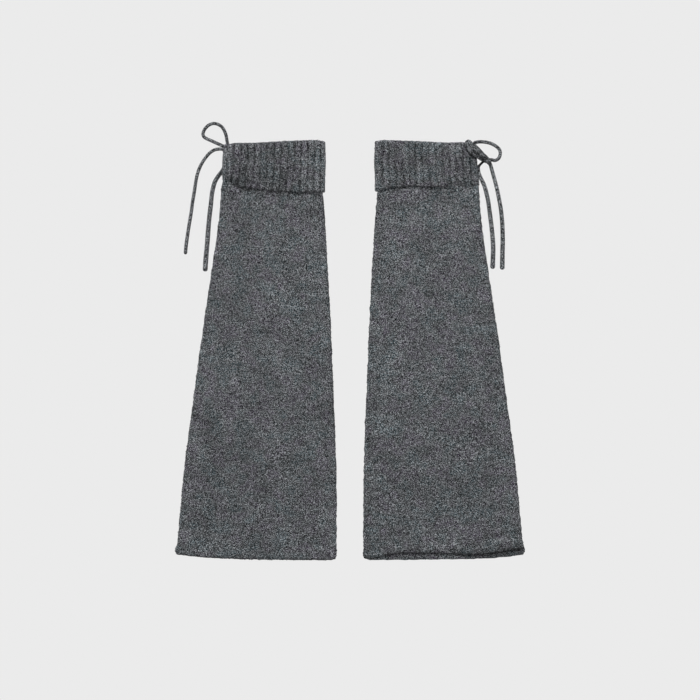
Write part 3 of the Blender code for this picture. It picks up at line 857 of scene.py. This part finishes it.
def smooth_route(route, step):
    """Points an even step apart on a smooth curve through the route's own points."""
    points = np.array(route, float)
    points = np.vstack([2 * points[0] - points[1], points, 2 * points[-1] - points[-2]])
    parts = np.linspace(0, 1, ROUTE_PARTS, endpoint=False)[:, None]
    fine = []
    for before, start, end, after in zip(points, points[1:], points[2:], points[3:]):
        fine.append(0.5 * (2 * start + (end - before) * parts
                           + (2 * before - 5 * start + 4 * end - after) * parts**2
                           + (3 * start - before - 3 * end + after) * parts**3))
    fine = np.vstack([*fine, points[-2]])
    travelled = np.concatenate([[0], np.cumsum(np.linalg.norm(np.diff(fine, axis=0), axis=1))])
    spaced = np.linspace(0, travelled[-1], max(round(travelled[-1] / step), 1) + 1)
    return np.stack([np.interp(spaced, travelled, fine[:, axis]) for axis in range(3)], axis=-1)


def tube(path, radii):
    """Points and faces of a closed round cord along a path, with its knitted relief. The points
    come ring after ring, and then one in the middle of each end."""
    run = unit(np.gradient(path, axis=0))
    sideways = np.zeros_like(path)
    start = np.cross(run[0], (0.0, 0.0, 1.0))
    if np.linalg.norm(start) < 0.1:
        start = np.cross(run[0], (0.0, 1.0, 0.0))
    for index, direction in enumerate(run):
        start = start - direction * (start @ direction)
        start = start / np.linalg.norm(start)
        sideways[index] = start
    upright = np.cross(run, sideways)
    turn = np.linspace(0, 2 * np.pi, CORD_SIDES, endpoint=False)
    step = np.linalg.norm(path[1] - path[0])
    travelled = (np.arange(len(path)) * step)[:, None]
    column = np.mod(CORD_WALES * turn / (2 * np.pi) + CORD_TWIST * travelled, 1.0)
    slant = 2 * np.abs(column - 0.5)
    stitch = np.mod(travelled / CORD_STITCH + CORD_SLANT * slant, 1.0)
    relief = CORD_CORE + CORD_WALE_RISE * np.sin(np.pi * np.mod(2 * column, 1.0))
    reach = radii[:, None] * (relief + CORD_STITCH_RISE * np.sin(np.pi * stitch))
    rings = (path[:, None] + sideways[:, None] * (np.cos(turn) * reach)[..., None]
             + upright[:, None] * (np.sin(turn) * reach)[..., None])
    rings[..., 2] = np.maximum(rings[..., 2], CORD_LOWEST)
    points = np.vstack([rings.reshape(-1, 3), rings[0].mean(axis=0), rings[-1].mean(axis=0)])
    count = len(path) * CORD_SIDES
    numbers = np.arange(count).reshape(-1, CORD_SIDES)
    turned = np.roll(numbers, -1, axis=1)
    faces = cell_faces(numbers[:-1], turned[:-1], turned[1:], numbers[1:]).tolist()
    faces += [(count, after, at) for at, after in zip(numbers[0].tolist(), turned[0].tolist())]
    faces += [(count + 1, at, after) for at, after in zip(numbers[-1].tolist(), turned[-1].tolist())]
    return points, faces


def rounded(radii, step):
    """Radii that close in at each end, as a cut cord's do."""
    reach = np.arange(len(radii)) * step
    ends = np.minimum(reach, reach[::-1])
    return radii * (END_WIDTH + (1 - END_WIDTH) * np.sqrt(np.clip(ends / END_LONG, 0, 1)))


def into_knot(end, knot):
    """The place where a cord's end is drawn into its knot, most of the way to the middle."""
    return tuple(np.array(end) + (np.array(knot.centre) - np.array(end)) * DRAWN_IN)


def cord(name, facts, knot, wool):
    """One loop or tail of a bow: a thin knitted tube, widening where the cord is relaxed."""
    route = [into_knot(facts.route[0], knot), *facts.route]
    from_both = facts.far_end == "object"
    if from_both:
        route.append(into_knot(facts.route[-1], knot))
    path = smooth_route(route, CORD_RING)
    step = np.linalg.norm(path[1] - path[0])
    travelled = np.arange(len(path)) * step
    slack = np.ones(len(path))
    if facts.tight:
        slack = ease(share_between(facts.tight - TIGHT_FADE, facts.tight + TIGHT_FADE, travelled))
    radii = np.linspace(facts.start_width, facts.end_width, len(path)) / 2
    radii = radii * (TIGHT_WIDTH + (1 - TIGHT_WIDTH) * slack)
    path[:, 2] += np.maximum(radii - CORD / 2, 0)
    points, faces = tube(path, rounded(radii, step))

    # Painted shade on the cord: darker near its knots and where it is drawn tight, and darker down
    # its sides, where they face away from the light above
    from_knot = np.minimum(travelled, travelled[::-1]) if from_both else travelled
    shades = KNOT_SHADE + (OPEN - KNOT_SHADE) * ease(share_between(*KNOT_FADE, from_knot))
    shades = shades * (TIGHT_SHADE + (OPEN - TIGHT_SHADE) * slack)
    heights = points[:-2, 2].reshape(len(path), CORD_SIDES) - path[:, 2:]
    upward = np.clip(heights / radii[:, None], 0, 1)
    shades = shades[:, None] * (CORD_SIDE_SHADE + (OPEN - CORD_SIDE_SHADE) * upward)
    piece = finish_piece(name + "_cord", points, faces, wool, "painted_shade_and_tone",
                         np.append(shades, (KNOT_SHADE, KNOT_SHADE)))
    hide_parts(name)
    length = float(np.linalg.norm(np.diff(path, axis=0), axis=1).sum() * MM)
    return piece, path, length


def bow_knot(name, knot, wool):
    """A pulled-tight knot: somewhat over one turn of cord round the strands that it holds."""
    radius = CORD / 2 * KNOT_THIN
    wide = knot.reach[1] - radius
    high = knot.reach[2] - radius
    angle = np.linspace(0, WRAP_TURNS * 2 * np.pi, WRAP_STEPS)
    strands = [np.stack([WRAP_SPREAD * np.linspace(-1, 1, WRAP_STEPS), wide * np.cos(angle),
                         high * np.sin(angle)], axis=-1)]
    along = np.linspace(-1, 1, KNOT_STRAND_STEPS)
    for offset, level in KNOT_STRANDS:
        strands.append(np.stack([
            (knot.reach[0] - KNOT_STRAND_SHORT) * along,
            wide * offset + KNOT_STRAND_BOW * offset * along**2,
            high * level + 0 * along], axis=-1))
    turn = math.radians(knot.turn)
    spin = np.array([[math.cos(turn), math.sin(turn), 0],
                     [-math.sin(turn), math.cos(turn), 0], [0, 0, 1]])
    all_points = []
    all_faces = []
    start = 0
    for strand in strands:
        path = strand @ spin + np.array(knot.centre)
        points, faces = tube(path, rounded(np.full(len(path), radius), CORD_RING))
        all_points.append(points)
        all_faces += [[corner + start for corner in face] for face in faces]
        start += len(points)
    piece = finish_piece(name + "_cord", np.vstack(all_points), all_faces, wool,
                         "painted_shade_and_tone", np.full(start, KNOT_TONE))
    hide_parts(name)
    return piece


def linear(hex_colour):
    """An sRGB hex value as linear red, green, blue and alpha."""
    channels = [int(hex_colour[start:start + 2], 16) / 255 for start in (1, 3, 5)]
    return (*[c / 12.92 if c <= 0.04045 else ((c + 0.055) / 1.055) ** 2.4 for c in channels], 1.0)


def add_node(tree, kind, inputs, stops=(), **settings):
    """Add a node with its settings, a colour ramp's stops, and its inputs, each of which is a
    value, another node or one of its outputs."""
    node = tree.nodes.new(kind)
    for key, value in settings.items():
        setattr(node, key, value)
    for key, value in inputs.items():
        if isinstance(value, bpy.types.Node):
            value = value.outputs[0]
        if isinstance(value, bpy.types.NodeSocket):
            tree.links.new(value, node.inputs[key])
        else:
            node.inputs[key].default_value = value
    if stops:
        ramp = node.color_ramp.elements
        ramp.remove(ramp[-1])
        ramp[0].position = stops[0][0]
        for position, _ in stops[1:]:
            ramp.new(position)
        for stop, (_, level) in zip(ramp, stops):
            stop.color = (level, level, level, 1.0)
    return node


def in_a_row(tree, kind, start, *steps):
    """The last of a row of nodes of one kind that start with a value, each of which has an
    operation and what else goes into it besides the one before."""
    for operation, *others in steps:
        start = add_node(tree, kind, dict(enumerate((start, *others))), operation=operation)
    return start


def new_material(name, values):
    """A new material with its nodes and its shader, which is given some values."""
    material = bpy.data.materials.new(name)
    material.use_nodes = True
    shader = material.node_tree.nodes["Principled BSDF"]
    for key, value in values.items():
        shader.inputs[key].default_value = value
    return material, material.node_tree, shader


def stitch_height(tree, where, yarn):
    """Height of plain knit: columns of stitches, each with two legs that slant to a V."""
    parts = add_node(tree, "ShaderNodeSeparateXYZ", {0: where})
    column = in_a_row(tree, MATHS, parts.outputs["X"], ("DIVIDE", yarn.wale * MM))
    slant = in_a_row(tree, MATHS, column, ("FRACT",), ("SUBTRACT", 0.5), ("ABSOLUTE",),
                     ("MULTIPLY", STITCH_SLANT))
    loop = in_a_row(tree, MATHS, parts.outputs["Y"], ("DIVIDE", yarn.course * MM),
                    ("ADD", slant), ("FRACT",), ("MULTIPLY", math.pi), ("SINE",),
                    ("MULTIPLY", STITCH_LOOP), ("ADD", 1 - STITCH_LOOP))
    return in_a_row(tree, MATHS, column, ("MULTIPLY", 2.0), ("FRACT",), ("MULTIPLY", math.pi),
                    ("SINE",), ("POWER", STITCH_ROUND), ("MULTIPLY", loop))


def wool_knit(name, yarn):
    """Mixed grey wool and synthetic yarn, knitted and brushed: matt, flecked and a little cloudy,
    with a soft bloom where light grazes the raised fibres."""
    material, tree, shader = new_material(name, {
        "Roughness": yarn.rough, "IOR": WOOL_IOR, "Specular IOR Level": 0.2, "Sheen Weight": 0.12,
        "Sheen Roughness": 0.6, "Sheen Tint": linear(WOOL_BLOOM)})
    where = add_node(tree, "ShaderNodeTexCoord", {}).outputs["Object"]
    drift = add_node(tree, NOISE, {
        "Vector": where, "Scale": 1 / (WANDER_SIZE * MM), "Detail": 1.0})
    moved = in_a_row(tree, VECTOR, drift.outputs["Color"], ("SUBTRACT", (0.5,) * 3),
                     ("MULTIPLY", (WANDER * MM,) * 3), ("ADD", where))
    stitch = stitch_height(tree, moved, yarn)
    fleck = add_node(tree, NOISE, {
        "Vector": where, "Scale": 1 / (yarn.fleck * MM), "Detail": 2.0, "Roughness": 0.6})
    cloud = add_node(tree, NOISE, {
        "Vector": where, "Scale": 1 / (CLOUD * MM), "Detail": 3.0, "Roughness": 0.55})
    stretched = add_node(tree, "ShaderNodeMapping", {"Vector": where, "Scale": (
        1 / (SLUB_LONG * MM), 1 / (SLUB_HIGH * MM), 1 / (SLUB_HIGH * MM))})
    slub = add_node(tree, NOISE, {"Vector": stretched, "Scale": 1.0, "Detail": 2.0})
    tint = add_node(tree, NOISE, {"Vector": moved, "Scale": 1 / (TINT * MM), "Detail": 1.0})

    colour = linear(yarn.mid)
    for noise, stops, strength, over in (
            (tint, COOL_PATCHES, yarn.tint, WOOL_COOL), (tint, WARM_PATCHES, yarn.tint, WOOL_WARM),
            (fleck, LIGHT_FLECKS, 1.0, WOOL_LIGHT), (fleck, DARK_FLECKS, 1.0, WOOL_DARK)):
        share = add_node(tree, RAMP, {0: noise}, stops)
        share = in_a_row(tree, MATHS, share, ("MULTIPLY", strength))
        colour = add_node(tree, MIX, {0: share, 6: colour, 7: linear(over)},
                          data_type="RGBA").outputs[2]
    # The cloth's painted shade and its tone, kept on the mesh, darken the yarn
    crease = add_node(tree, ATTRIBUTE, {}, attribute_name="painted_shade_and_tone")
    tone = in_a_row(tree, MATHS, crease.outputs["Fac"], ("MULTIPLY", yarn.tone))
    level = LEVEL_START
    # Painted shade in the hollows between the stitches leaves their raised loops lighter
    for part, strength in ((cloud, CLOUD_LEVEL), (slub, SLUB_LEVEL), (stitch, STITCH_LEVEL)):
        level = in_a_row(tree, MATHS, part, ("MULTIPLY_ADD", strength, level))
    level = in_a_row(tree, MATHS, level, ("MULTIPLY", tone))
    bright = add_node(tree, VECTOR, {0: colour, "Scale": level}, operation="SCALE")
    tree.links.new(bright.outputs[0], shader.inputs["Base Color"])
    relief = in_a_row(tree, MATHS, fleck, ("MULTIPLY", FLECK_RELIEF))
    relief = in_a_row(tree, MATHS, stitch, ("MULTIPLY_ADD", STITCH_RELIEF, relief))
    bump = add_node(tree, "ShaderNodeBump", {
        "Strength": RELIEF_STRENGTH, "Distance": RELIEF_DEPTH * MM, "Height": relief})
    tree.links.new(bump.outputs[0], shader.inputs["Normal"])
    return material


def brushed_fibres(name):
    """Single fibres combed out of the yarn, from nearly black to pale grey, a little glossy."""
    material, tree, shader = new_material(name, {
        "Roughness": 0.7, "IOR": WOOL_IOR, "Specular IOR Level": 0.25})
    # Each fibre's random tone, darkened by the painted shade under it
    shade = add_node(tree, ATTRIBUTE, {}, attribute_name="fibre_tone_and_shade").outputs["Fac"]
    pale = add_node(tree, RAMP, {0: shade}, PALE_FIBRES)
    colour = add_node(tree, MIX, {0: pale, 6: linear(WOOL_DARK), 7: linear(WOOL_LIGHT)},
                      data_type="RGBA")
    tree.links.new(colour.outputs[2], shader.inputs["Base Color"])
    return material


def studio():
    """A pale table of opal acrylic that is lit from inside, as the picture has no shadows on it,
    even light from all round, and a soft key light that falls from beyond the cuffs."""
    reach = TABLE_REACH * MM
    mesh = bpy.data.meshes.new("table_top")
    mesh.from_pydata([(x * reach, y * reach, -TABLE_DROP * MM)
                      for x, y in ((-1, -1), (1, -1), (1, 1), (-1, 1))], [], [(0, 1, 2, 3)])
    acrylic, _, _ = new_material("lit_opal_acrylic", {
        "Base Color": linear(BLACK), "Roughness": 1.0, "Specular IOR Level": 0.0,
        "Emission Color": linear(TABLE_PALE), "Emission Strength": 1.0})
    mesh.materials.append(acrylic)
    add_object("table_top", mesh)

    world = bpy.data.worlds.new("studio")
    world.use_nodes = True
    bpy.context.scene.world = world
    sky = world.node_tree.nodes["Background"]
    sky.inputs["Color"].default_value = linear(WHITE)
    sky.inputs["Strength"].default_value = SKY_LIGHT
    lamp = bpy.data.lights.new("key_light", "SUN")
    lamp.energy = KEY_LIGHT
    lamp.angle = math.radians(KEY_SOFTNESS)
    key = add_object("key_light", lamp)
    key.rotation_euler = (math.radians(-KEY_TILT), 0.0, math.radians(KEY_TURN))


def camera():
    """A camera that looks straight down at the middle of the pair."""
    data = bpy.data.cameras.new("camera")
    data.lens = LENS
    data.sensor_width = SENSOR
    eye = add_object("camera", data)
    eye.location = (0.0, 0.0, (FIELD * LENS / SENSOR + CLOTH_HEIGHT) * MM)
    bpy.context.scene.camera = eye


camera()
studio()
bpy.context.scene.view_settings.view_transform = "Standard"
leg_wool = wool_knit("brushed_wool_knit", LEG_YARN)
cuff_wool = wool_knit("ribbed_wool_knit", CUFF_YARN)
cord_wool = wool_knit("knitted_wool_cord", CORD_YARN)
fibres = brushed_fibres("brushed_wool_fibres")
knots = {name: bow_knot(name, knot, cord_wool) for name, knot in KNOTS.items()}
for name, facts in CORDS.items():
    knot_name = name.split("_")[0] + "_bow_knot"
    piece, path, length = cord(name, facts, KNOTS[knot_name], cord_wool)
for side in (LEFT, RIGHT):
    for face in (BACK, FRONT):
        leg_panel(side, face, leg_wool, fibres)
        cuff_panel(side, face, cuff_wool, fibres)
